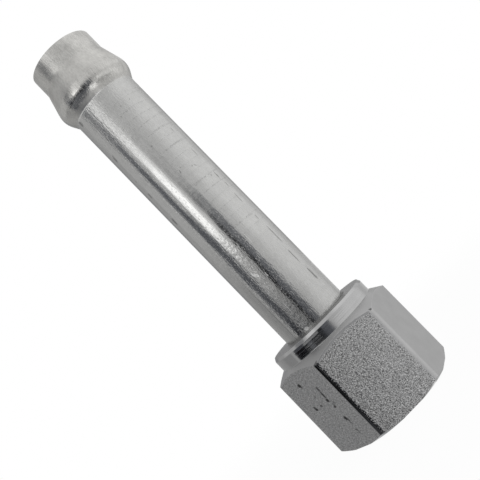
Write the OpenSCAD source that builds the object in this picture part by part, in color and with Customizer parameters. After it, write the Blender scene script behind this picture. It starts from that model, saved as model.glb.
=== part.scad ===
// Straight heater hose fitting: a formed tube with a hose bead at one end and a flare at
// the other, and a captive hexagon nut that turns freely on the tube behind the flare.
// The origin is the centre of the nut's mouth. +Z runs along the tube to its open tip.

/* [Tube] */
// Outside diameter of the tube, a 5/8 inch heater hose size
tube_d = 15.875; // [12:0.125:20]
// Wall of the tube
tube_wall = 1.245; // [0.9:0.005:1.6]
// Length from the nut's mouth to the tube's tip
overall_len = 103.3; // [80:0.1:160]
// Rounding of the edges at the tube's tip
tip_round = 0.1; // [0.05:0.05:0.4]

/* [Hose bead] */
// How far the bead's crest stands above the tube
bead_rise = 1.45; // [1:0.025:2]
// Distance from the tip to the bead's crest
bead_from_tip = 10.6; // [9.5:0.1:20]
// Radius of the crest along the tube
bead_round = 4; // [2.5:0.1:5]
// Slope of the long ramp that faces the tip
ramp_deg = 15; // [12:0.5:20]
// Slope of the short back that holds the hose
back_deg = 28.5; // [24:0.5:40]
// Fillet where the ramp leaves the tip
foot_round = 2; // [0.5:0.1:3]
// Fillet in the crease behind the bead
crease_round = 0.6; // [0.3:0.1:2]

/* [Flare] */
// Half of the flare's cone angle
flare_deg = 45; // [37:1:45]
// How far the flare's lip stands above the tube
flare_rise = 1.91; // [1.4:0.01:2.4]
// Fillet between the tube and the back of the flare
flare_bend = 0.8; // [0.4:0.1:1.5]
// Rounding of the flare's lip
lip_round = 0.25; // [0.05:0.05:0.4]

/* [Nut bore] */
// Room between the flare and the crests of the thread
flare_way = 0.4; // [0.2:0.05:1]
// Height of the thread, from its crests to its roots
thread_height = 0.8625; // [0.6:0.0125:1.2]
// Length of the thread from the nut's mouth
thread_len = 13.6; // [9:0.1:20]
// Countersink at the start of the thread
mouth_lead = 0.5; // [0.2:0.1:1]
// Length of the relief behind the thread
relief_len = 2.2; // [1.4:0.1:4]
// Depth of the relief below the thread's roots
relief_depth = 0.25; // [0.1:0.05:0.6]
// How far the conical seat reaches past the flare's lip
seat_over = 0.3; // [0.1:0.05:0.6]
// Clearance between the tube and the nut that turns on it
turn_gap = 0.08; // [0.04:0.01:0.1]
// Length of the nut behind the narrow end of the seat
back_len = 5.99; // [5.2:0.01:12]
// Bevel where the tube leaves the nut
back_lead = 0.3; // [0.1:0.05:0.6]

/* [Nut outside] */
// Wall between the thread's roots and the flats, which sets the width across flats
nut_wall = 2.39; // [1.8:0.01:5]
// Rounding of the hexagon's long edges
corner_round = 1.2; // [0.2:0.05:2]
// How far outside the flats the bevel round the mouth starts
mouth_over = 0.24; // [0.02:0.02:0.8]
// Slope of the bevel round the mouth
mouth_deg = 28; // [20:1:40]
// Step from the flats in to the turned collar
collar_step = 1.08; // [0.5:0.01:1.5]
// Slope of the bevel from the collar to the hexagon's edges
top_deg = 31.5; // [20:0.5:40]
// Length of the collar
collar_len = 3.15; // [2.4:0.05:5]
// How much radius the bevel at the collar's back takes off
rim_step = 0.38; // [0.1:0.02:0.8]
// Length of that bevel along the nut
rim_len = 0.66; // [0.2:0.02:1.2]
// Rounding of that bevel's edges
rim_round = 0.1; // [0.05:0.05:0.2]

/* [Hidden] */
$fn = 120;
// Straight steps in each rounded corner of a profile
round_steps = 8;
// Overlap of a cut past the face that it opens
past = 1;

tube_r = tube_d / 2;
flare_r = tube_r + flare_rise;

// Heights of the bead, where the ramp and the back would meet the tube with no fillet
crest_z = overall_len - bead_from_tip;
foot_z = crest_z + bead_round * sin(ramp_deg)
    + (bead_rise - bead_round * (1 - cos(ramp_deg))) / tan(ramp_deg);
crease_z = crest_z - bead_round * sin(back_deg)
    - (bead_rise - bead_round * (1 - cos(back_deg))) / tan(back_deg);

// The nut is built outwards from the flare that has to pass its thread
minor_r = flare_r + flare_way;
major_r = minor_r + thread_height;
flat_r = major_r + nut_wall;
collar_r = flat_r - collar_step;
mouth_r = flat_r + mouth_over;
corner_r = flat_r / cos(30);
bore_r = tube_r + turn_gap;

// Heights in the nut: its shoulder, the flare's bend and lip, the collar's foot and the back face
shoulder_z = thread_len + relief_len;
bend_z = shoulder_z + (flare_rise + seat_over) / tan(flare_deg);
lip_z = bend_z - flare_rise / tan(flare_deg);
nut_len = bend_z + back_len;
collar_z = nut_len - collar_len;

function unit(v) = v / norm(v);

// The corner p between neighbours a and b, rounded to radius r
function corner(a, p, b, r) =
    let (
        u = unit(a - p),
        w = unit(b - p),
        half = acos(u * w) / 2,
        mid = p + unit(u + w) * r / sin(half),
        from = p + u * r / tan(half) - mid,
        to = p + w * r / tan(half) - mid,
        start = atan2(from[1], from[0]),
        turn = (atan2(to[1], to[0]) - start + 540) % 360 - 180
    )
    [for (i = [0:round_steps]) mid + r * [cos(start + turn * i / round_steps), sin(start + turn * i / round_steps)]];

// A path of [x, y, radius] with each corner rounded. Its two ends stay sharp.
function rounded(path) =
    let (last = len(path) - 1, xy = [for (p = path) [p[0], p[1]]])
    [for (i = [0:last])
        each (i == 0 || i == last || path[i][2] <= 0) ? [xy[i]] : corner(xy[i - 1], xy[i], xy[i + 1], path[i][2])];

// One skin of the tube from the flare's lip to the tip, as [radius, height, rounding].
// The outer skin has inset 0, and the inner one follows it at the depth of the wall.
function skin(inset) =
    let (
        ramp = tan(ramp_deg),
        back = tan(back_deg),
        peak_z = (foot_z * ramp + crease_z * back + inset * (1 / cos(back_deg) - 1 / cos(ramp_deg))) / (ramp + back),
        peak_r = tube_r - inset / cos(ramp_deg) + (foot_z - peak_z) * ramp
    )
    [
        [flare_r - inset * cos(flare_deg), lip_z - inset * sin(flare_deg), lip_round],
        [tube_r - inset, bend_z - inset * tan(flare_deg / 2), flare_bend + inset],
        [tube_r - inset, crease_z + inset * tan(back_deg / 2), crease_round + inset],
        [peak_r, peak_z, bead_round - inset],
        [tube_r - inset, foot_z - inset * tan(ramp_deg / 2), foot_round + inset],
        [tube_r - inset, overall_len, tip_round]
    ];

// The tube's wall as one closed outline. It starts in the middle of the lip, so that the
// lip's two edges are rounded as well.
module tube_section() {
    outer = skin(0);
    inner = skin(tube_wall);
    lip = [(outer[0][0] + inner[0][0]) / 2, (outer[0][1] + inner[0][1]) / 2, 0];
    polygon(rounded([lip, each outer, each [for (i = [5:-1:0]) inner[i]], lip]));
}

module hose_tube() {
    color("#c6c7c5")
        rotate_extrude()
            tube_section();
}

// The hexagon bar with its long edges rounded. Two flats face along X.
module hexagon() {
    ring = [for (i = [0:5]) corner_r * [cos(30 + 60 * i), sin(30 + 60 * i)]];
    linear_extrude(nut_len)
        polygon([for (i = [0:5]) each corner(ring[(i + 5) % 6], ring[i], ring[(i + 1) % 6], corner_round)]);
}

// What the lathe leaves of the bar: the bevel round the mouth, the bevel to the collar and the collar
module turned_outside() {
    reach = corner_r + past;
    rotate_extrude()
        polygon(rounded([
            [0, 0, 0],
            [mouth_r, 0, 0],
            [reach, (reach - mouth_r) * tan(mouth_deg), 0],
            [reach, collar_z - (reach - collar_r) * tan(top_deg), 0],
            [collar_r, collar_z, 0],
            [collar_r, nut_len - rim_len, rim_round],
            [collar_r - rim_step, nut_len, rim_round],
            [0, nut_len, 0]
        ]));
}

// The bore: lead-in, plain wall at the thread's roots, relief, conical seat and running bore.
// The thread's ridges stand inward from the plain wall.
module nut_bore() {
    relief_r = major_r + relief_depth;
    seat_r = flare_r + seat_over + turn_gap / cos(flare_deg);
    narrow_z = shoulder_z + (seat_r - bore_r) / tan(flare_deg);
    rotate_extrude()
        polygon(rounded([
            [0, -past, 0],
            [major_r + mouth_lead + past, -past, 0],
            [major_r, mouth_lead, 0],
            [major_r, thread_len, 0],
            [relief_r, thread_len + relief_depth, 0],
            [relief_r, shoulder_z, 0],
            [seat_r, shoulder_z, 0],
            [bore_r, narrow_z, flare_bend - turn_gap],
            [bore_r, nut_len - back_lead, 0],
            [bore_r + back_lead + past, nut_len + past, 0],
            [0, nut_len + past, 0]
        ]));
}

module swivel_nut() {
    color("#a3a5a4")
        difference() {
            intersection() {
                hexagon();
                turned_outside();
            }
            nut_bore();
        }
}

hose_tube();
swivel_nut();
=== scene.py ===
"""Looks of a straight heater hose fitting: a beaded tube and the hexagon nut that turns on it."""

import math

import bpy
from mathutils import Matrix, Vector


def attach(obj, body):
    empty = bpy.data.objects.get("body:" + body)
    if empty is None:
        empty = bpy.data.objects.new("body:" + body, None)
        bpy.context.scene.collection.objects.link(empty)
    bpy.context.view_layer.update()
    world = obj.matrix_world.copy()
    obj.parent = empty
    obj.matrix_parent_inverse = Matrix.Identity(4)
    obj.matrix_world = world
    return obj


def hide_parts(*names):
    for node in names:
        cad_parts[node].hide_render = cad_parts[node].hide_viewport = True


MM = 0.001
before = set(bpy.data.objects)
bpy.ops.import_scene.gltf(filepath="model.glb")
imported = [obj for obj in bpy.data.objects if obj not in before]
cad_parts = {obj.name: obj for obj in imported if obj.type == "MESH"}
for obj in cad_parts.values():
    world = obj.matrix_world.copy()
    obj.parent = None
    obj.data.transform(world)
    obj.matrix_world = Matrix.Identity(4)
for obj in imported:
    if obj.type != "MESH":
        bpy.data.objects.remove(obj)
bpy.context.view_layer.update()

# Driving sizes, in millimetres and radians, as in the part's source
TUBE_R = 15.875 / 2
TUBE_WALL = 1.245
OVERALL = 103.3
TIP_ROUND = 0.1
BEAD_RISE = 1.45
BEAD_FROM_TIP = 10.6
BEAD_ROUND = 4.0
RAMP = math.radians(15)
BACK = math.radians(28.5)
FOOT_ROUND = 2.0
CREASE_ROUND = 0.6
FLARE = math.radians(45)
FLARE_RISE = 1.91
FLARE_BEND = 0.8
LIP_ROUND = 0.25
FLARE_WAY = 0.4
THREAD_HEIGHT = 0.8625
THREAD_LEN = 13.6
THREAD_PITCH = 25.4 / 14
MOUTH_LEAD = 0.5
RELIEF_LEN = 2.2
RELIEF_DEPTH = 0.25
SEAT_OVER = 0.3
TURN_GAP = 0.08
BACK_LEN = 5.99
BACK_LEAD = 0.3
NUT_WALL = 2.39
CORNER_ROUND = 1.2
MOUTH_OVER = 0.24
MOUTH_BEVEL = math.radians(28)
COLLAR_STEP = 1.08
TOP_BEVEL = math.radians(31.5)
COLLAR_LEN = 3.15
RIM_STEP = 0.38
RIM_LEN = 0.66
RIM_ROUND = 0.1

# Worked out from them
CREST_Z = OVERALL - BEAD_FROM_TIP
FOOT_Z = (CREST_Z + BEAD_ROUND * math.sin(RAMP)
          + (BEAD_RISE - BEAD_ROUND * (1 - math.cos(RAMP))) / math.tan(RAMP))
CREASE_Z = (CREST_Z - BEAD_ROUND * math.sin(BACK)
            - (BEAD_RISE - BEAD_ROUND * (1 - math.cos(BACK))) / math.tan(BACK))
FLARE_R = TUBE_R + FLARE_RISE
MINOR_R = FLARE_R + FLARE_WAY
MAJOR_R = MINOR_R + THREAD_HEIGHT
FLAT_R = MAJOR_R + NUT_WALL
CORNER_R = FLAT_R / math.cos(math.radians(30))
COLLAR_R = FLAT_R - COLLAR_STEP
MOUTH_R = FLAT_R + MOUTH_OVER
BORE_R = TUBE_R + TURN_GAP
SHOULDER_Z = THREAD_LEN + RELIEF_LEN
BEND_Z = SHOULDER_Z + (FLARE_RISE + SEAT_OVER) / math.tan(FLARE)
LIP_Z = BEND_Z - FLARE_RISE / math.tan(FLARE)
NUT_LEN = BEND_Z + BACK_LEN
COLLAR_Z = NUT_LEN - COLLAR_LEN


# Profiles

# Straight steps in each rounded corner of a profile
TUBE_ROUND_STEPS = 8
NUT_ROUND_STEPS = 5
# How far a held point stands from its arc, and the share of a short straight that it may take
HOLD = 0.03
HOLD_SHARE = 0.3


def corner(before, at, after, radius, steps):
    """The corner at a point between two others, rounded to a radius. All are (x, y)."""
    a = (Vector(before) - Vector(at)).normalized()
    b = (Vector(after) - Vector(at)).normalized()
    half = a.angle(b) / 2
    middle = Vector(at) + (a + b).normalized() * radius / math.sin(half)
    start = Vector(at) + a * radius / math.tan(half) - middle
    end = Vector(at) + b * radius / math.tan(half) - middle
    first = math.atan2(start.y, start.x)
    turn = (math.atan2(end.y, end.x) - first + math.pi) % (2 * math.pi) - math.pi
    angles = [first + turn * i / steps for i in range(steps + 1)]
    return [(middle.x + radius * math.cos(t), middle.y + radius * math.sin(t)) for t in angles]


def held(arc, before, after):
    """An arc with a point close by each end on the straight, which keeps the straight's shading flat."""
    ends = []
    for tip, far in ((arc[0], before), (arc[-1], after)):
        way = Vector(far) - Vector(tip)
        ends.append(tuple(Vector(tip) + way * min(HOLD / way.length, HOLD_SHARE)))
    return [ends[0], *arc, ends[1]]


def rounded(path, steps):
    """A path of (x, y, radius) with each corner rounded, its two ends left sharp."""
    out = []
    for i, (x, y, radius) in enumerate(path):
        if i in (0, len(path) - 1) or radius <= 0:
            out.append((x, y))
        else:
            before, after = path[i - 1][:2], path[i + 1][:2]
            out += held(corner(before, (x, y), after, radius, steps), before, after)
    return out


def filled(points, step):
    """The same path with points added, so that no stretch is longer than a step."""
    out = [points[0]]
    for (x0, y0), (x1, y1) in zip(points, points[1:]):
        count = max(1, math.ceil(math.hypot(x1 - x0, y1 - y0) / step))
        out += [(x0 + (x1 - x0) * i / count, y0 + (y1 - y0) * i / count) for i in range(1, count + 1)]
    return out


# Mesh helpers

def mesh_object(name, verts, faces):
    """A smooth-shaded mesh object in metres from points in millimetres."""
    mesh = bpy.data.meshes.new(name)
    mesh.from_pydata([(x * MM, y * MM, z * MM) for x, y, z in verts], [], faces)
    mesh.validate()
    mesh.shade_smooth()
    obj = bpy.data.objects.new(name, mesh)
    bpy.context.scene.collection.objects.link(obj)
    return obj


def turned(section, turn, rise=0.0):
    """A section of (radius, height) at one bearing round Z, raised by an amount."""
    return [(r * math.cos(turn), r * math.sin(turn), z + rise) for r, z in section]


def ring_faces(columns, rows):
    """Quads over a grid that closes on itself both ways. A vertex is column * rows + row."""
    faces = []
    for c in range(columns):
        d = (c + 1) % columns
        for r in range(rows):
            s = (r + 1) % rows
            faces.append((c * rows + r, d * rows + r, d * rows + s, c * rows + s))
    return faces


# The tube

TUBE_COLUMNS = 240
# The longest stretch between two points of the profile
TUBE_STEP = 0.8


def tube_skin(inset):
    """One skin of the tube from the flare's lip to the tip, as (radius, height, rounding)."""
    ramp = math.tan(RAMP)
    back = math.tan(BACK)
    spread = inset * (1 / math.cos(BACK) - 1 / math.cos(RAMP))
    peak_z = (FOOT_Z * ramp + CREASE_Z * back + spread) / (ramp + back)
    peak_r = TUBE_R - inset / math.cos(RAMP) + (FOOT_Z - peak_z) * ramp
    return [
        (FLARE_R - inset * math.cos(FLARE), LIP_Z - inset * math.sin(FLARE), LIP_ROUND),
        (TUBE_R - inset, BEND_Z - inset * math.tan(FLARE / 2), FLARE_BEND + inset),
        (TUBE_R - inset, CREASE_Z + inset * math.tan(BACK / 2), CREASE_ROUND + inset),
        (peak_r, peak_z, BEAD_ROUND - inset),
        (TUBE_R - inset, FOOT_Z - inset * math.tan(RAMP / 2), FOOT_ROUND + inset),
        (TUBE_R - inset, OVERALL, TIP_ROUND),
    ]


def build_tube():
    """The tube's wall, turned round Z. Its section starts and ends in the middle of the lip."""
    outer = tube_skin(0)
    inner = tube_skin(TUBE_WALL)
    lip = ((outer[0][0] + inner[0][0]) / 2, (outer[0][1] + inner[0][1]) / 2, 0)
    path = rounded([lip, *outer, *reversed(inner), lip], TUBE_ROUND_STEPS)
    section = filled(path, TUBE_STEP)[:-1]
    verts = []
    for c in range(TUBE_COLUMNS):
        verts += turned(section, 2 * math.pi * c / TUBE_COLUMNS)
    return mesh_object("tube_skin", verts, ring_faces(TUBE_COLUMNS, len(section)))


# The nut

# Columns across each flat, and round each long edge
FLAT_COLUMNS = 24
CORNER_STEPS = 8
# Breaks of the turned edges outside and in the bore
EDGE_BREAK = 0.1
BORE_BREAK = 0.05
# The section starts on the mouth's face, this far outside the thread's roots
MOUTH_START = 1.2
# The bevel round the mouth is never smaller than this, so that all sections have the same points
LEAST_BEVEL_WIDTH = 0.04
LEAST_BEVEL_RISE = 0.02


def nut_columns():
    """Bearings of the nut's columns, with the radius of its hexagon at each."""
    columns = []
    for i in range(6):
        here = math.radians(30 + 60 * i)
        turns = [here + k * math.pi / 3 for k in (-1, 0, 1)]
        before, at, after = [(CORNER_R * math.cos(turn), CORNER_R * math.sin(turn)) for turn in turns]
        arc = held(corner(before, at, after, CORNER_ROUND, CORNER_STEPS), before, after)
        columns += [(math.atan2(y, x), math.hypot(x, y)) for x, y in arc]
        # The flat that follows this corner, up to the arc of the next one
        middle = here + math.pi / 6
        half = math.acos(FLAT_R / math.hypot(*arc[-1]))
        for k in range(1, FLAT_COLUMNS):
            off = half * (2 * k / FLAT_COLUMNS - 1)
            columns.append((middle + off, FLAT_R / math.cos(off)))
    return columns


def nut_section(hexagon_r):
    """Closed outline of the nut in the half plane where its hexagon has this radius."""
    mouth_r = min(MOUTH_R, hexagon_r - LEAST_BEVEL_WIDTH)
    low = max(LEAST_BEVEL_RISE, (hexagon_r - MOUTH_R) * math.tan(MOUTH_BEVEL))
    high = COLLAR_Z - (hexagon_r - COLLAR_R) * math.tan(TOP_BEVEL)
    relief_r = MAJOR_R + RELIEF_DEPTH
    seat_r = FLARE_R + SEAT_OVER + TURN_GAP / math.cos(FLARE)
    narrow_z = SHOULDER_Z + (seat_r - BORE_R) / math.tan(FLARE)
    mouth_break = min(EDGE_BREAK, (hexagon_r - mouth_r) / 3, low / 3)
    path = [
        (MAJOR_R + MOUTH_START, 0, 0),
        (mouth_r, 0, mouth_break),
        (hexagon_r, low, mouth_break),
        (hexagon_r, high, EDGE_BREAK),
        (COLLAR_R, COLLAR_Z, EDGE_BREAK),
        (COLLAR_R, NUT_LEN - RIM_LEN, RIM_ROUND),
        (COLLAR_R - RIM_STEP, NUT_LEN, RIM_ROUND),
        (BORE_R + BACK_LEAD, NUT_LEN, BORE_BREAK),
        (BORE_R, NUT_LEN - BACK_LEAD, BORE_BREAK),
        (BORE_R, narrow_z, FLARE_BEND - TURN_GAP),
        (seat_r, SHOULDER_Z, BORE_BREAK),
        (relief_r, SHOULDER_Z, BORE_BREAK),
        (relief_r, THREAD_LEN + RELIEF_DEPTH, BORE_BREAK),
        (MAJOR_R, THREAD_LEN, BORE_BREAK),
        (MAJOR_R, MOUTH_LEAD, BORE_BREAK),
        (MAJOR_R + MOUTH_LEAD, 0, BORE_BREAK),
        (MAJOR_R + MOUTH_START, 0, 0),
    ]
    return rounded(path, NUT_ROUND_STEPS)[:-1]


def build_nut():
    """The nut without its thread, as a ring of sections."""
    columns = nut_columns()
    verts = []
    for turn, radius in columns:
        verts += turned(nut_section(radius), turn)
    return mesh_object("nut_skin", verts, ring_faces(len(columns), len(verts) // len(columns)))


# The thread's ridge winds up the nut's plain bore, right-handed, and fades out at both ends

THREAD_FROM = 1.0
THREAD_TO = 13.0
THREAD_CREST = THREAD_PITCH / 4
THREAD_FLANK = math.radians(30)
THREAD_COLUMNS = 72
# Turns over which the ridge rises from the wall, and how deep its roots are sunk in it
THREAD_FADE = 0.3
THREAD_BURY = 0.03
# Edges that bend by more than this are shaded sharp
THREAD_SHARP = math.radians(25)


def build_thread():
    """The ridge, as a row of sections with four points each."""
    turns = (THREAD_TO - THREAD_FROM) / THREAD_PITCH
    count = round(turns * THREAD_COLUMNS)
    crest = THREAD_CREST / 2
    wall = MAJOR_R + THREAD_BURY
    verts = []
    for i in range(count + 1):
        t = turns * i / count
        share = min(1, t / THREAD_FADE, (turns - t) / THREAD_FADE)
        height = (THREAD_HEIGHT + THREAD_BURY) * share * (2 - share)
        root = crest + height * math.tan(THREAD_FLANK)
        section = [(wall, -root), (wall - height, -crest), (wall - height, crest), (wall, root)]
        verts += turned(section, 2 * math.pi * t, THREAD_FROM + THREAD_PITCH * t)
    faces = []
    for i in range(count):
        a, b = 4 * i, 4 * i + 4
        faces += [(a + k, a + (k + 1) % 4, b + (k + 1) % 4, b + k) for k in range(4)]
    faces += [(3, 2, 1, 0), (4 * count, 4 * count + 1, 4 * count + 2, 4 * count + 3)]
    ridge = mesh_object("thread_ridge", verts, faces)
    ridge.data.set_sharp_from_angle(angle=THREAD_SHARP)
    return ridge


# Materials

class Nodes:
    """Short hand for building a node tree."""

    def __init__(self, tree):
        self.tree = tree

    def new(self, kind, **settings):
        node = self.tree.nodes.new(kind)
        for name, value in settings.items():
            setattr(node, name, value)
        return node

    def put(self, socket, value):
        """Links another node's output to a socket, or sets the socket's own value."""
        if isinstance(value, bpy.types.NodeSocket):
            self.tree.links.new(value, socket)
        else:
            socket.default_value = value

    def math(self, operation, a, b=0.0, c=0.0):
        node = self.new("ShaderNodeMath", operation=operation)
        for socket, value in zip(node.inputs, (a, b, c)):
            self.put(socket, value)
        return node.outputs[0]

    def plus(self, a, b):
        return self.math("ADD", a, b)

    def minus(self, a, b):
        return self.math("SUBTRACT", a, b)

    def times(self, a, b):
        return self.math("MULTIPLY", a, b)

    def larger(self, a, b):
        return self.math("MAXIMUM", a, b)

    def added(self, base, value, weight):
        """The base with a weighted value on top."""
        return self.math("MULTIPLY_ADD", value, weight, base)

    def without(self, value, mask):
        """The value where the mask is 0, and nothing where the mask is 1."""
        return self.times(value, self.minus(1.0, mask))

    def centred(self, noise):
        """A noise that varies about 0 in place of 0.5."""
        return self.minus(noise, 0.5)

    def blend(self, share, a, b):
        """a where the share is 0 and b where it is 1."""
        node = self.new("ShaderNodeMix", data_type="FLOAT")
        self.put(node.inputs[0], share)
        self.put(node.inputs[2], a)
        self.put(node.inputs[3], b)
        return node.outputs[0]

    def blend_colours(self, share, a, b):
        node = self.new("ShaderNodeMix", data_type="RGBA")
        self.put(node.inputs[0], share)
        node.inputs[6].default_value = (*a, 1)
        node.inputs[7].default_value = (*b, 1)
        return node.outputs[2]

    def blend_shaders(self, share, a, b):
        node = self.new("ShaderNodeMixShader")
        for socket, value in zip(node.inputs, (share, a, b)):
            self.put(socket, value)
        return node.outputs[0]

    def step(self, value, low, high):
        """0 on low's side and 1 on high's side, with a smooth rise between the two."""
        node = self.new("ShaderNodeMapRange", interpolation_type="SMOOTHSTEP")
        for name, v in (("Value", value), ("From Min", low), ("From Max", high)):
            self.put(node.inputs[name], v)
        return node.outputs["Result"]

    def window(self, value, low, high, soft):
        """1 between low and high, falling to 0 over a soft edge on each side."""
        return self.minus(self.step(value, low - soft, low), self.step(value, high, high + soft))

    def dot(self, a, b):
        node = self.new("ShaderNodeVectorMath", operation="DOT_PRODUCT")
        self.put(node.inputs[0], a)
        self.put(node.inputs[1], b)
        return node.outputs["Value"]

    def scale(self, vector, factor):
        node = self.new("ShaderNodeVectorMath", operation="SCALE")
        self.put(node.inputs[0], vector)
        self.put(node.inputs["Scale"], factor)
        return node.outputs[0]

    def split(self, vector):
        node = self.new("ShaderNodeSeparateXYZ")
        self.put(node.inputs[0], vector)
        return node.outputs[0], node.outputs[1], node.outputs[2]

    def noise(self, vector, fineness, detail):
        """A noise from 0 to 1, with a fineness of its own along each axis."""
        stretched = self.new("ShaderNodeVectorMath", operation="MULTIPLY")
        self.put(stretched.inputs[0], vector)
        stretched.inputs[1].default_value = fineness
        node = self.new("ShaderNodeTexNoise")
        self.put(node.inputs["Vector"], stretched.outputs[0])
        node.inputs["Scale"].default_value = 1.0
        node.inputs["Detail"].default_value = detail
        return node.outputs[0]

    def bump(self, shader, height):
        """Feeds a height in millimetres to the shader's normal."""
        node = self.new("ShaderNodeBump")
        node.inputs["Strength"].default_value = 1.0
        node.inputs["Distance"].default_value = MM
        self.put(node.inputs["Height"], height)
        self.put(shader.inputs["Normal"], node.outputs[0])


def material(name):
    """A metal material with its nodes, its shader and the place on the object in millimetres."""
    mat = bpy.data.materials.new(name)
    mat.use_nodes = True
    nodes = Nodes(mat.node_tree)
    shader = mat.node_tree.nodes["Principled BSDF"]
    shader.inputs["Metallic"].default_value = 1.0
    place = nodes.scale(nodes.new("ShaderNodeTexCoord").outputs["Object"], 1 / MM)
    return mat, nodes, shader, place


def bearing_of(nodes, place, middle):
    """Degrees round the tube, counted from a bearing, with the seam on the far side."""
    ahead = (math.cos(math.radians(middle)), math.sin(math.radians(middle)), 0)
    aside = (-ahead[1], ahead[0], 0)
    turn = nodes.math("ARCTAN2", nodes.dot(place, aside), nodes.dot(place, ahead))
    return nodes.math("DEGREES", turn)


# A mark fades out between these two, where 0 is its middle and 1 its half width or half length
MARK_OUTER = 2.1
MARK_INNER = 0.1


def spots(nodes, marks, across, along, middle):
    """Each mark's tone on the mark and 0 elsewhere. Marks and places share the same two coordinates."""
    out = 0.0
    for b, z, half_b, half_z, tone in marks:
        b = (b - middle + 180) % 360 - 180
        off_b = nodes.math("DIVIDE", nodes.minus(across, b), half_b)
        off_z = nodes.math("DIVIDE", nodes.minus(along, z), half_z)
        blunt_end = nodes.math("POWER", nodes.math("ABSOLUTE", off_z), 4)
        off = nodes.plus(nodes.times(off_b, off_b), blunt_end)
        out = nodes.larger(out, nodes.times(nodes.step(off, MARK_OUTER, MARK_INNER), tone))
    return out


# The tube's metal. Bearings are in degrees, and heights and depths in millimetres.

# The bearing that faces the camera
TUBE_MIDDLE = -126
STEM_COLOUR = (0.6, 0.6, 0.59)
BEAD_COLOUR = (0.64, 0.633, 0.61)
# Dark marks: bearing, height, half width in degrees, half length in millimetres, depth of tone
SCRATCHES = [
    (-75, 73.4, 0.9, 0.6, 0.5), (-74, 66.9, 0.9, 1.0, 0.6), (-74.3, 60.2, 1.0, 0.9, 0.9),
    (-72.4, 57.3, 0.9, 0.6, 0.7), (-75.3, 53.5, 0.9, 1.1, 0.8), (-76.6, 47.9, 0.9, 0.6, 0.7),
    (-74.6, 42.7, 0.8, 2.4, 0.9), (-78.3, 36.9, 0.9, 1.7, 0.9), (-76.3, 31.6, 1.1, 1.7, 1.0),
    (-73.9, 31.2, 0.7, 1.2, 0.8), (172.3, 59.4, 2.6, 0.9, 1.0), (173.4, 66.9, 2.2, 0.8, 0.8),
    (174.4, 88.3, 3.2, 0.7, 0.9), (174.2, 77.6, 2.4, 0.8, 0.9), (-171.9, 32, 0.6, 9.0, 0.5),
    (-118, 65.2, 0.9, 0.25, 0.8),
]
# Bright nicks, laid out in the same way. The last two are not nicks but painted glints, highlights near
# the nut drawn as nicks.
NICKS_AND_GLINTS = [
    (-147.6, 39.9, 1.3, 0.4, 1.0), (-145.2, 39.5, 1.4, 0.33, 1.0), (-142.6, 39.0, 1.4, 0.36, 1.0),
    (-131.6, 38, 0.6, 0.6, 0.7), (-114, 46, 0.4, 1.4, 0.5), (-146.0, 24.5, 3.2, 0.35, 0.7),
    (-143.9, 30.2, 0.5, 1.3, 0.45),
]
# Zones that begin at the first height and are full from the second
FORMED = (CREASE_Z - 0.3, CREASE_Z + 0.6)
SCUFFED = (53, 45)
HAMMERED = (72, 85)
# Painted shade on the stem in front of the nut, from the first height down
SHADE_NEAR_NUT = (52, 26)
CLEAN_TIP = (97, 99.5)
# Zones with a soft edge: from, to, edge. The bearings of these count from TUBE_MIDDLE.
BURNISHED = (CREST_Z - 2.2, CREST_Z + 0.7, 0.7)
PITTED = (60, 86, 4)
ROLLED = (48, 84, 3)
ROLLED_TURN = (14, 62, 12)
CREASED = (CREASE_Z - 0.03, CREASE_Z + 0.09, 0.1)
CREASED_TURN = (-50, 2, 14)
# Painted shade on one side of the bead's back
BEAD_SHADE_ZONE = (CREASE_Z + 0.4, CREST_Z - 0.9, 0.7)
BEAD_SHADE_TURN = (14, 62, 14)
SPECKLED_TURN = (-41, -28, 4)
# Noises: how fine each is across the tube and along it, and its detail
GRAIN = ((3.2, 3.2, 1.1), 2)
FLECK = ((4.3, 4.3, 2.2), 1)
DRAWN = ((1.6, 1.6, 0.09), 2)
RINGS = ((0.05, 0.05, 1.1), 3)
CLOUD = ((0.32, 0.32, 0.32), 3)
SWELL = ((0.2, 0.2, 0.12), 1)
PITS = ((1.7, 1.7, 1.4), 0)
SPECKS = ((5.4, 5.4, 3.2), 0)
# The parts of a noise or wave that show, from faint to full
FLECK_PEAKS = (0.52, 0.76)
PIT_PEAKS = (0.79, 0.86)
SPECK_PEAKS = (0.6, 0.74)
LINE_PEAKS = (0.93, 1.0)
LINE_DOTS = (0.42, 0.6)
# How far the grain frays the edge of a scratch
FRAY = 1.6
# How much raw metal the crease shows all round, and how much more on its own bearings
CREASE_SHARE = 0.05
CREASE_MORE = 0.9
# Distance between two roller lines, and how far they stray
ROLLER_PITCH = 2.36
ROLLER_STRAY = 1.6
# What each kind of surface or mark adds to the metal's tone
STEM_CLOUD_TONE = 0.12
BEAD_CLOUD_TONE = 0.66
STEM_GRAIN_TONE = 0.24
BEAD_GRAIN_TONE = 0.46
RING_TONE = 0.09
SCRATCH_TONE = -0.5
LINE_TONE = -0.22
SPECK_TONE = 0.6
WORN_SPECK_TONE = 0.4
# Painted shade in front of the nut
NUT_SHADE_TONE = -0.1
# Painted shade on the bead's back
BEAD_SHADE_TONE = -0.12
# The raw metal's tone also paints the two glints among the nicks
BARE_AND_GLINT_TONE = 0.65
# Depth of a pit's tone, as a share of a scratch's
PIT_SHARE = 0.6
# Roughness of each kind of surface, and how much the clouds change it
STEM_ROUGH = 0.13
BEAD_ROUGH = 0.4
BURNISHED_ROUGH = 0.17
TIP_ROUGH = 0.24
FLECK_ROUGH = 0.3
WORN_FLECK_ROUGH = 0.45
BARE_ROUGH = 0.5
SCRATCH_ROUGH = 0.35
STEM_CLOUD_ROUGH = 0.08
BEAD_CLOUD_ROUGH = 0.3
# The share of the light that raw metal scatters in all directions
BARE_SCATTER = 0.8
# Depths of the bumps
GRAIN_DEPTH = 0.009
WORN_DEPTH = 0.028
HAMMER_DEPTH = 0.034
DRAWN_DEPTH = 0.018
RING_DEPTH = 0.006
SWELL_DEPTH = 0.1
SCRATCH_DEPTH = 0.02


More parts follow.
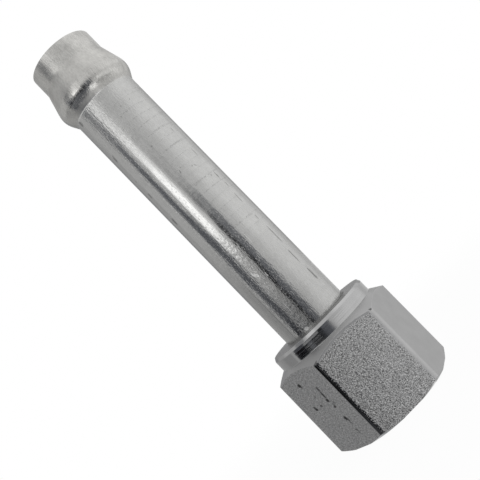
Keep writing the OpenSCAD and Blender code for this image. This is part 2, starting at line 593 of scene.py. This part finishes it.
def roller_lines(nodes, turn, z, rings, fleck):
    """Faint rings from the rollers, worn to dots."""
    strayed = nodes.added(z, rings, ROLLER_STRAY)
    wave = nodes.math("SINE", nodes.times(strayed, 2 * math.pi / ROLLER_PITCH))
    lines = nodes.times(nodes.step(wave, *LINE_PEAKS), nodes.window(z, *ROLLED))
    lines = nodes.times(lines, nodes.window(turn, *ROLLED_TURN))
    return nodes.times(lines, nodes.step(fleck, *LINE_DOTS))


def bare_metal_and_glints(nodes, turn, z):
    """Raw metal in the nicks and the crease behind the bead, and two painted glints drawn like nicks. Most
    of the crease has little of it.
    """
    nicks = spots(nodes, NICKS_AND_GLINTS, turn, z, TUBE_MIDDLE)
    share = nodes.added(CREASE_SHARE, nodes.window(turn, *CREASED_TURN), CREASE_MORE)
    return nodes.larger(nicks, nodes.times(nodes.window(z, *CREASED), share))


def bright_specks(nodes, place, turn, worn, formed):
    """Bright specks along one side of the stem."""
    specks = nodes.step(nodes.noise(place, *SPECKS), *SPECK_PEAKS)
    specks = nodes.times(specks, nodes.window(turn, *SPECKLED_TURN))
    specks = nodes.times(specks, nodes.blend(worn, SPECK_TONE, WORN_SPECK_TONE))
    return nodes.without(specks, formed)


def tube_material():
    """Bright drawn metal, cloudy on the formed end, with the marks that the photo shows, two painted
    glints, and painted shade in front of the nut and on the bead's back.
    """
    mat, nodes, shader, place = material("tube_metal")
    z = nodes.split(place)[2]
    turn = bearing_of(nodes, place, TUBE_MIDDLE)
    # The formed end past the crease is cloudy. The stem is scuffed in front of the nut and
    # hammered up to the bead.
    formed = nodes.step(z, *FORMED)
    far_end = nodes.step(z, *HAMMERED)
    worn = nodes.larger(nodes.step(z, *SCUFFED), far_end)
    hammered = nodes.without(far_end, formed)
    grain, fleck, drawn, rings, cloud, swell, pits = [
        nodes.noise(place, *kind) for kind in (GRAIN, FLECK, DRAWN, RINGS, CLOUD, SWELL, PITS)
    ]
    ragged = nodes.times(nodes.centred(grain), FRAY)
    scratches = spots(nodes, SCRATCHES, nodes.plus(turn, ragged), nodes.plus(z, ragged), TUBE_MIDDLE)
    pits = nodes.times(nodes.step(pits, *PIT_PEAKS), nodes.window(z, *PITTED))
    bare_and_glints = bare_metal_and_glints(nodes, turn, z)

    # Tone, as a share of the metal's colour. Painted shade darkens it in front of the nut and on one side
    # of the bead's back.
    cloud_tone = nodes.blend(formed, STEM_CLOUD_TONE, BEAD_CLOUD_TONE)
    grain_tone = nodes.blend(formed, STEM_GRAIN_TONE, BEAD_GRAIN_TONE)
    scars = nodes.larger(scratches, nodes.times(pits, PIT_SHARE))
    # Painted shade on one side of the bead's back
    bead_shade = nodes.times(nodes.window(turn, *BEAD_SHADE_TURN), nodes.window(z, *BEAD_SHADE_ZONE))
    tone = nodes.added(1.0, nodes.centred(cloud), cloud_tone)
    tone = nodes.added(tone, nodes.centred(grain), grain_tone)
    tone = nodes.added(tone, nodes.centred(rings), RING_TONE)
    tone = nodes.added(tone, scars, SCRATCH_TONE)
    tone = nodes.added(tone, roller_lines(nodes, turn, z, rings, fleck), LINE_TONE)
    tone = nodes.plus(tone, bright_specks(nodes, place, turn, worn, formed))
    # Painted shade on the stem in front of the nut
    tone = nodes.added(tone, nodes.step(z, *SHADE_NEAR_NUT), NUT_SHADE_TONE)
    # Painted shade on the back of the bead
    tone = nodes.added(tone, bead_shade, BEAD_SHADE_TONE)
    # Raw metal brightens the nicks and the crease, and paints two glints as highlights
    tone = nodes.added(tone, bare_and_glints, BARE_AND_GLINT_TONE)
    metal = nodes.blend_colours(formed, STEM_COLOUR, BEAD_COLOUR)
    nodes.put(shader.inputs["Base Color"], nodes.scale(metal, tone))

    rough = nodes.blend(formed, STEM_ROUGH, BEAD_ROUGH)
    rough = nodes.blend(nodes.window(z, *BURNISHED), rough, BURNISHED_ROUGH)
    rough = nodes.blend(nodes.step(z, *CLEAN_TIP), rough, TIP_ROUGH)
    fleck_rough = nodes.blend(worn, FLECK_ROUGH, WORN_FLECK_ROUGH)
    rough = nodes.blend(nodes.step(fleck, *FLECK_PEAKS), rough, fleck_rough)
    cloud_rough = nodes.blend(formed, STEM_CLOUD_ROUGH, BEAD_CLOUD_ROUGH)
    rough = nodes.added(rough, nodes.centred(cloud), cloud_rough)
    rough = nodes.larger(rough, nodes.times(bare_and_glints, BARE_ROUGH))
    rough = nodes.larger(rough, nodes.times(scratches, SCRATCH_ROUGH))
    nodes.put(shader.inputs["Roughness"], rough)
    nodes.put(shader.inputs["Metallic"], nodes.added(1.0, bare_and_glints, -BARE_SCATTER))

    depth = nodes.added(nodes.blend(worn, GRAIN_DEPTH, WORN_DEPTH), hammered, HAMMER_DEPTH)
    height = nodes.times(nodes.centred(grain), depth)
    height = nodes.added(height, drawn, DRAWN_DEPTH)
    height = nodes.added(height, rings, RING_DEPTH)
    height = nodes.added(height, swell, SWELL_DEPTH)
    height = nodes.added(height, scratches, -SCRATCH_DEPTH)
    nodes.bump(shader, height)
    return mat


# The nut's metal, in millimetres

NUT_COLOUR = (0.5, 0.5, 0.5)
# Dark marks on the flat that faces -X: Y, height, half width, half length, depth of tone
NUT_MARKS = [
    (-2.7, 14.7, 0.3, 0.6, 0.8), (-2.7, 14.0, 0.2, 0.4, 0.7), (-2.6, 13.2, 0.3, 0.8, 0.9),
    (-2.7, 12.4, 0.2, 0.3, 0.6), (-2.4, 11.8, 0.4, 0.4, 1.0), (-3.6, 10.9, 0.3, 0.3, 0.5),
    (-3.1, 10.6, 0.2, 0.3, 0.5), (-2.8, 10.0, 0.4, 0.3, 0.9), (-2.7, 6.9, 0.4, 0.5, 1.0),
    (-3.0, 6.4, 0.3, 0.5, 0.7), (-3.0, 5.6, 0.2, 0.3, 0.6), (-2.7, 3.9, 0.3, 0.3, 0.7),
    (-2.8, 3.2, 0.2, 0.6, 0.5), (1.5, 17.2, 0.5, 0.4, 1.0), (1.3, 16.8, 0.3, 0.4, 0.7),
    (0.2, 13.6, 0.3, 0.3, 0.5), (0.7, 11.4, 0.4, 0.3, 0.7), (3.1, 11.6, 0.4, 0.4, 0.8),
    (3.0, 11.2, 0.4, 0.3, 1.0),
]
# The same for the one dark speck at the top corner of the blasted flat
CORNER_SPECK = [(7.62, 19.17, 0.3, 0.36, 0.8)]
# The six flats, counted from +X. The blasted one faces the camera, and the one on its left is marked.
FLAT_WAYS = [(math.cos(math.radians(60 * i)), math.sin(math.radians(60 * i)), 0) for i in range(6)]
BLASTED_FLAT = 4
MARKED_FLAT = 3
HIDDEN_FLATS = (0, 1, 2)
# How far out a place has to be to count as on a flat, and as near the blasted one
ON_FLAT = (FLAT_R - 0.012, FLAT_R - 0.003)
NEAR_FLAT = (FLAT_R - 0.5, FLAT_R - 0.3)
# How far below the bevel the flats lose its smooth look, where the bevel itself begins, and the radius
# that sets it apart from the collar
CLEAR_OF_BEVEL = (0.4, 0.62)
ON_BEVEL = (0.3, 0.1)
OUTSIDE_COLLAR = (COLLAR_R + 0.1, COLLAR_R + 0.2)
# The rim's bevel, the collar's back face and the radius inside which the bore begins
ON_RIM = (NUT_LEN - RIM_LEN, NUT_LEN - RIM_LEN + 0.1)
ON_BACK = (NUT_LEN - 0.02, NUT_LEN - 0.01)
IN_BORE = (MAJOR_R + 0.7, MAJOR_R + 0.4)
COLLAR_ENDS = (COLLAR_Z, NUT_LEN, 0.05)
BELOW_COLLAR = (COLLAR_Z, COLLAR_Z - 1)
# Places across the blasted flat where its bright edge, its dark edge and that edge's chips begin
BRIGHT_EDGE = (6.65, 7.05)
DARK_EDGE = (-6.85, -7.0)
CHIPPED = (-7.65, -7.15)
# Noises, as for the tube. The grooves of the lathe run outward on the collar's back face.
GRIT = ((4.0, 4.0, 4.0), 2)
NUT_CLOUD = ((0.35, 0.35, 0.35), 2)
NUT_RINGS = ((0.03, 0.03, 1.6), 2)
CHIPS = ((4.6, 4.6, 3.2), 1)
MOTTLE = ((1.7, 1.7, 2.6), 2)
GROOVES = ((2.6, 0, 0), 2)
CHIP_PEAKS = (0.5, 0.62)
# How far the grit frays the edges of marks and zones, and how many times as far the dark edge's
NUT_FRAY = 0.5
DARK_EDGE_FRAY = 2.0
# The grain of the marked and the hidden flats, as a share of the blasted one's
DULLER_GRAIN = 0.6
# What each kind of surface or mark adds to the metal's tone
NUT_CLOUD_TONE = 0.16
GRIT_TONE = 2.9
PLAIN_GRIT_TONE = 0.12
MOTTLE_TONE = 1.2
# Painted shade on the collar's back face, where the tube enters the nut
BACK_FACE_SHADE_TONE = -0.5
# Painted highlight on the rim's bevel
RIM_HIGHLIGHT_TONE = 0.12
BEVEL_TONE = 0.07
# Painted highlight along the polished edge
EDGE_HIGHLIGHT_TONE = 0.25
# Painted shade in the bore
BORE_SHADE_TONE = -0.2
# Painted dark reflection along the blasted flat's other edge
EDGE_DARK_REFLECTION_TONE = -0.62
MARK_TONE = -0.9
# The blasted flat's tone in its middle, and a painted shade gradient across it: the change per millimetre,
# lighter towards the polished edge
BLAST_TONE = -0.1
BLAST_SHADE_SLOPE = 0.02
# Roughness of each kind of surface
SMOOTH_ROUGH = 0.12
FLAT_ROUGH = 0.42
DARK_EDGE_ROUGH = 0.14
CHIP_ROUGH = 0.6
BRIGHT_EDGE_ROUGH = 0.36
BEVEL_ROUGH = 0.3
BORE_ROUGH = 0.5
BACK_ROUGH = 0.36
# Depths of the bumps
GRIT_DEPTH = 0.26
PLAIN_DEPTH = 0.004
TURNED_DEPTH = 0.03
GROOVE_DEPTH = 0.1
MARK_DEPTH = 0.05


def nut_material():
    """Zinc-plated steel: grainy flats, one of them blasted, with smooth bevels and a turned collar.
    Painted highlights on the rim and one edge of the blasted flat, painted shade on the back face, in the
    bore and across the blasted flat, and a painted dark reflection on its other edge.
    """
    mat, nodes, shader, place = material("nut_metal")
    x, y, z = nodes.split(place)
    radius = nodes.math("SQRT", nodes.plus(nodes.times(x, x), nodes.times(y, y)))
    grit, cloud, rings, chips, mottle = [
        nodes.noise(place, *kind) for kind in (GRIT, NUT_CLOUD, NUT_RINGS, CHIPS, MOTTLE)
    ]
    ragged = nodes.times(nodes.centred(grit), NUT_FRAY)

    # Flats: how far out a place lies along each flat's own direction
    outs = [nodes.dot(place, way) for way in FLAT_WAYS]
    on_flat = [nodes.step(out, *ON_FLAT) for out in outs]
    blasted_flat, marked_flat = on_flat[BLASTED_FLAT], on_flat[MARKED_FLAT]
    near = nodes.step(outs[BLASTED_FLAT], *NEAR_FLAT)
    any_flat = 0.0
    for mask in on_flat:
        any_flat = nodes.larger(any_flat, mask)
    duller = marked_flat
    for i in HIDDEN_FLATS:
        duller = nodes.larger(duller, on_flat[i])

    # The bevel's smooth look runs a little on to the flats
    cone_top = COLLAR_Z + COLLAR_R * math.tan(TOP_BEVEL)
    cone_z = nodes.added(cone_top, radius, -math.tan(TOP_BEVEL))
    below_cone = nodes.plus(nodes.minus(cone_z, z), ragged)
    clear = nodes.step(below_cone, *CLEAR_OF_BEVEL)
    outside = nodes.step(radius, *OUTSIDE_COLLAR)
    cone = nodes.times(outside, nodes.step(below_cone, *ON_BEVEL))

    # One long edge of the blasted flat is polished and carries a painted highlight, and the other is
    # smooth and carries a painted dark reflection, broken by bright chips
    ahead = FLAT_WAYS[BLASTED_FLAT]
    aside = nodes.dot(place, (-ahead[1], ahead[0], 0))
    bright_side = nodes.step(nodes.plus(aside, ragged), *BRIGHT_EDGE)
    dark_side = nodes.step(nodes.added(aside, ragged, DARK_EDGE_FRAY), *DARK_EDGE)
    bright_edge = nodes.times(bright_side, blasted_flat)
    mirror = nodes.times(dark_side, blasted_flat)
    blasted = nodes.times(clear, nodes.minus(nodes.minus(blasted_flat, bright_edge), mirror))
    dark_edge = nodes.times(dark_side, near)
    chipped = nodes.times(dark_edge, nodes.step(aside, *CHIPPED))
    chips = nodes.times(nodes.step(chips, *CHIP_PEAKS), chipped)
    grain = nodes.larger(blasted, nodes.times(duller, DULLER_GRAIN))

    # Turned faces and the bore
    back = nodes.step(z, *ON_BACK)
    bore = nodes.without(nodes.step(radius, *IN_BORE), back)
    rim = nodes.minus(nodes.step(z, *ON_RIM), back)
    collar = nodes.without(nodes.window(z, *COLLAR_ENDS), bore)

    marks = spots(nodes, NUT_MARKS, nodes.plus(y, ragged), nodes.plus(z, ragged), 0)
    marks = nodes.times(marks, marked_flat)
    speck = nodes.times(spots(nodes, CORNER_SPECK, aside, z, 0), near)

    # Tone, as a share of the metal's colour
    tone = nodes.added(1.0, nodes.centred(cloud), NUT_CLOUD_TONE)
    tone = nodes.added(tone, nodes.centred(grit), nodes.added(PLAIN_GRIT_TONE, grain, GRIT_TONE))
    tone = nodes.added(tone, nodes.centred(mottle), nodes.times(duller, MOTTLE_TONE))
    # Painted shade on the collar's back face
    tone = nodes.added(tone, back, BACK_FACE_SHADE_TONE)
    # Painted highlight on the rim's bevel
    tone = nodes.added(tone, rim, RIM_HIGHLIGHT_TONE)
    tone = nodes.added(tone, cone, BEVEL_TONE)
    # Painted highlight along the polished edge
    tone = nodes.added(tone, bright_edge, EDGE_HIGHLIGHT_TONE)
    # The blasted flat's tone, with a painted shade gradient across it
    tone = nodes.added(tone, blasted, nodes.added(BLAST_TONE, aside, BLAST_SHADE_SLOPE))
    # Painted shade in the bore
    tone = nodes.added(tone, bore, BORE_SHADE_TONE)
    # Painted dark reflection along the flat's other edge, broken by chips
    tone = nodes.added(tone, nodes.minus(dark_edge, chips), EDGE_DARK_REFLECTION_TONE)
    tone = nodes.times(tone, nodes.added(1.0, nodes.larger(marks, speck), MARK_TONE))
    nodes.put(shader.inputs["Base Color"], nodes.scale(NUT_COLOUR, tone))

    rough = nodes.blend(any_flat, SMOOTH_ROUGH, FLAT_ROUGH)
    rough = nodes.blend(mirror, rough, DARK_EDGE_ROUGH)
    rough = nodes.blend(chips, rough, CHIP_ROUGH)
    below_collar = nodes.step(z, *BELOW_COLLAR)
    rough = nodes.larger(rough, nodes.times(nodes.times(bright_side, BRIGHT_EDGE_ROUGH), below_collar))
    rough = nodes.blend(cone, rough, BEVEL_ROUGH)
    rough = nodes.blend(bore, rough, BORE_ROUGH)
    rough = nodes.blend(back, rough, BACK_ROUGH)
    nodes.put(shader.inputs["Roughness"], rough)

    height = nodes.times(nodes.centred(grit), nodes.added(PLAIN_DEPTH, grain, GRIT_DEPTH))
    height = nodes.added(height, nodes.centred(rings), nodes.times(collar, TURNED_DEPTH))
    outward = nodes.new("ShaderNodeCombineXYZ")
    nodes.put(outward.inputs[0], radius)
    grooves = nodes.noise(outward.outputs[0], *GROOVES)
    height = nodes.added(height, nodes.centred(grooves), nodes.times(back, GROOVE_DEPTH))
    height = nodes.added(height, marks, -MARK_DEPTH)
    nodes.bump(shader, height)
    return mat


# Camera: place, aim, roll and lens of the photograph's view

CAMERA_AT = Vector((-88.574, -121.916, 36.918)) * MM
CAMERA_FORWARD = Vector((0.587526, 0.806330, 0.068153))
CAMERA_ROLL = math.radians(44.248)
LENS = 52.827
SENSOR = 36
CLIP = (0.005, 10)


def build_camera():
    """The camera, turned upright first and then rolled about its line of sight."""
    data = bpy.data.cameras.new("camera")
    data.lens = LENS
    data.sensor_width = SENSOR
    data.clip_start, data.clip_end = CLIP
    cam = bpy.data.objects.new("camera", data)
    bpy.context.scene.collection.objects.link(cam)
    forward = CAMERA_FORWARD.normalized()
    level = (Vector((0, 0, 1)) - forward * forward.z).normalized()
    side = forward.cross(level)
    up = level * math.cos(CAMERA_ROLL) + side * math.sin(CAMERA_ROLL)
    right = forward.cross(up)
    turn = Matrix((right, up, -forward)).transposed().to_4x4()
    cam.matrix_world = Matrix.Translation(CAMERA_AT) @ turn
    bpy.context.scene.camera = cam


# Studio: a light tent described by bearing round the tube, counted from the camera's side, and by
# the angle below level. The backdrop behind the fitting is white.

BACK_WAY = Vector((-CAMERA_FORWARD.x, -CAMERA_FORWARD.y, 0)).normalized()
SIDE_WAY = Vector((-BACK_WAY.y, BACK_WAY.x, 0))
# Levels of light where there is no card, and the bearings between which one gives way to the other
LEFT_LEVEL = 0.53
MIDDLE_LEVEL = 0.64
LEFT_ENDS = (-30, -18)
# Each card: bearings from and to, soft edge, angles below level from and to, soft edge, level of light.
# A later card covers those before it.
CARDS = {
    "softbox on the right": (68, 104, 42, -90, 90, 5, 0.87),
    "far side on the right": (130, 150, 14, -90, 90, 5, 0.66),
    "low side on the left": (-180, -90, 4, 0, 90, 5, 0.36),
    "low far side on the left": (-180, -146, 6, 3, 90, 4, 0.2),
    "far side on the left": (-160, -124, 10, -90, 90, 5, 0.42),
    "wall behind on the right": (150, 180, 10, -18, -1, 3, 0.42),
    "wall behind on the left": (-180, -150, 10, -18, 0, 3, 0.3),
    "grey flag": (-76, -62.5, 5, -90, 90, 5, 0.15),
    "top of the flag": (-80, -61, 6, -90, -18, 4, 0.28),
    "strip light": (-43, -27, 11, -60, -3.5, 3, 0.87),
    "lamp in the strip": (-42, -32, 8, -12, -5.8, 2.5, 1.72),
    "top of the strip": (-47, -36, 6, -21, -16, 3, 1.05),
    "foot of the strip": (-44, -18, 8, -2, 90, 3, 0.43),
    "floor below the strip": (-44, -18, 8, 2, 90, 3, 0.34),
    "flag's foot": (-77, -53.5, 4, -6, 90, 4, 0.12),
    "shade above the camera": (-15, -6, 6, -11, -5, 5, 0.46),
    "bar above the camera": (3, 8, 4, -22, -9, 4, 0.55),
    "camera and stand": (-11, 14, 4, -6, 90, 5, 0.17),
    "slit beside the camera": (-12.8, -4.9, 2.5, -5, 90, 3, 0.01),
    "low softbox on the right": (34, 110, 16, 10, 60, 5, 0.95),
    "table on the right": (14, 180, 6, 28, 90, 5, 0.55),
    "wall beside the camera": (8, 17, 1, 5.3, 22, 0.6, 0.64),
    "edge of the room": (-64, 8, 16, 5.3, 22, 0.6, 0.13),
    "dark room": (-60, -16, 20, 5.3, 90, 0.6, 0.022),
    "foot of the flag": (-80, -57, 3, 5.3, 18, 0.6, 0.0),
    "glimmer in the room": (-42, -37, 5, 5.3, 8, 0.6, 0.16),
    "far end of the room": (-80, -30, 8, 16, 60, 5, 0.22),
    "back of the room": (-80, 12, 5, 22, 90, 5, 0.13),
    "table under the camera": (-180, 180, 1, 42, 90, 8, 0.5),
    "lamp on the table": (2, 20, 5, 30, 46, 6, 1.3),
}
# Dark places have a cold tint, full up to the first of these levels of light and gone at the second
DARK_TINT = (0.92, 0.96, 1.07)
TINTED = (0.08, 0.4)
# The backdrop as the metal mirrors it: the bearings on either side between which it sets in, and how far
# it reaches above and below level, with its soft edge
BACKDROP_EDGE = (156, 176)
BACKDROP_REACH = (-28, 28, 10)
# A grey band just above level and a gap low down on the left take these shares of it away
BAND = (-18, -1, 3)
BAND_LOSS = 0.78
LEFT_SIDE = (1, -1)
GAP = (-5, 18, 5)
GAP_LOSS = 0.9


def build_world():
    """The light tent that the metal mirrors, and the white backdrop that the camera sees."""
    world = bpy.data.worlds.new("studio")
    bpy.context.scene.world = world
    world.use_nodes = True
    tree = world.node_tree
    tree.nodes.clear()
    nodes = Nodes(tree)
    way = nodes.new("ShaderNodeTexCoord").outputs["Generated"]
    along = nodes.dot(way, tuple(BACK_WAY))
    across = nodes.dot(way, tuple(SIDE_WAY))
    bearing = nodes.math("DEGREES", nodes.math("ARCTAN2", across, along))
    below = nodes.math("DEGREES", nodes.math("ARCSINE", nodes.dot(way, (0, 0, -1))))

    level = nodes.blend(nodes.step(bearing, *LEFT_ENDS), LEFT_LEVEL, MIDDLE_LEVEL)
    for b0, b1, b_soft, h0, h1, h_soft, light in CARDS.values():
        inside = nodes.times(nodes.window(bearing, b0, b1, b_soft), nodes.window(below, h0, h1, h_soft))
        level = nodes.blend(inside, level, light)
    tent = nodes.new("ShaderNodeBackground")
    nodes.put(tent.inputs["Strength"], level)
    tint = nodes.blend_colours(nodes.step(level, *TINTED), DARK_TINT, (1, 1, 1))
    nodes.put(tent.inputs["Color"], tint)

    # The backdrop is white to the camera and in what the metal mirrors
    white = nodes.new("ShaderNodeBackground")
    white.inputs["Color"].default_value = (1, 1, 1, 1)
    path = nodes.new("ShaderNodeLightPath")
    mirrored = nodes.plus(path.outputs["Is Glossy Ray"], path.outputs["Is Transmission Ray"])
    mirrored = nodes.times(mirrored, nodes.step(nodes.math("ABSOLUTE", bearing), *BACKDROP_EDGE))
    mirrored = nodes.times(mirrored, nodes.window(below, *BACKDROP_REACH))
    mirrored = nodes.times(mirrored, nodes.added(1.0, nodes.window(below, *BAND), -BAND_LOSS))
    gap = nodes.times(nodes.step(bearing, *LEFT_SIDE), nodes.window(below, *GAP))
    mirrored = nodes.times(mirrored, nodes.added(1.0, gap, -GAP_LOSS))
    seen = nodes.larger(path.outputs["Is Camera Ray"], mirrored)
    light = nodes.blend_shaders(seen, tent.outputs[0], white.outputs[0])
    nodes.put(nodes.new("ShaderNodeOutputWorld").inputs["Surface"], light)


# Floor: a white sheet that keeps a faint shadow near the fitting

FLOOR_R = 150
FLOOR_STEPS = 96
# A hair below the nut's mouth
FLOOR_Z = -0.02
FLOOR_SHADOW = 0.04
# Shares of the floor's radius between which the shadow fades out
SHADOW_FADE = (0.3, 0.95)
PAPER = (0.9, 0.9, 0.9, 1)


def build_floor():
    """A round sheet. It can be seen, but the metal doesn't mirror it."""
    turns = [2 * math.pi * i / FLOOR_STEPS for i in range(FLOOR_STEPS)]
    verts = [(FLOOR_R * math.cos(turn), FLOOR_R * math.sin(turn), FLOOR_Z) for turn in turns]
    floor = mesh_object("floor", verts, [tuple(range(FLOOR_STEPS))])
    mat = bpy.data.materials.new("floor_white")
    mat.use_nodes = True
    mat.node_tree.nodes.clear()
    nodes = Nodes(mat.node_tree)
    paper = nodes.new("ShaderNodeBsdfDiffuse")
    paper.inputs["Color"].default_value = PAPER
    white = nodes.new("ShaderNodeEmission")
    white.inputs["Color"].default_value = (1, 1, 1, 1)
    length = nodes.new("ShaderNodeVectorMath", operation="LENGTH")
    nodes.put(length.inputs[0], nodes.new("ShaderNodeTexCoord").outputs["Object"])
    near, edge = [FLOOR_R * MM * share for share in SHADOW_FADE]
    share = nodes.blend(nodes.step(length.outputs["Value"], near, edge), 1 - FLOOR_SHADOW, 1.0)
    share = nodes.times(share, nodes.new("ShaderNodeLightPath").outputs["Is Camera Ray"])
    sheet = nodes.blend_shaders(share, paper.outputs[0], white.outputs[0])
    # From below, the floor can be looked through
    underside = nodes.new("ShaderNodeNewGeometry").outputs["Backfacing"]
    clear = nodes.new("ShaderNodeBsdfTransparent").outputs[0]
    surface = nodes.blend_shaders(underside, sheet, clear)
    nodes.put(nodes.new("ShaderNodeOutputMaterial").inputs["Surface"], surface)
    floor.data.materials.append(mat)
    floor.visible_glossy = False


build_camera()
build_world()
build_floor()

tube = build_tube()
tube.data.materials.append(tube_material())
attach(tube, "tube")
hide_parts("hose_tube")

nut = build_nut()
nut_metal = nut_material()
nut.data.materials.append(nut_metal)
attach(nut, "nut")
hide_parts("swivel_nut")

thread = build_thread()
thread.data.materials.append(nut_metal)
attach(thread, "nut")

bpy.context.scene.view_settings.view_transform = "Standard"
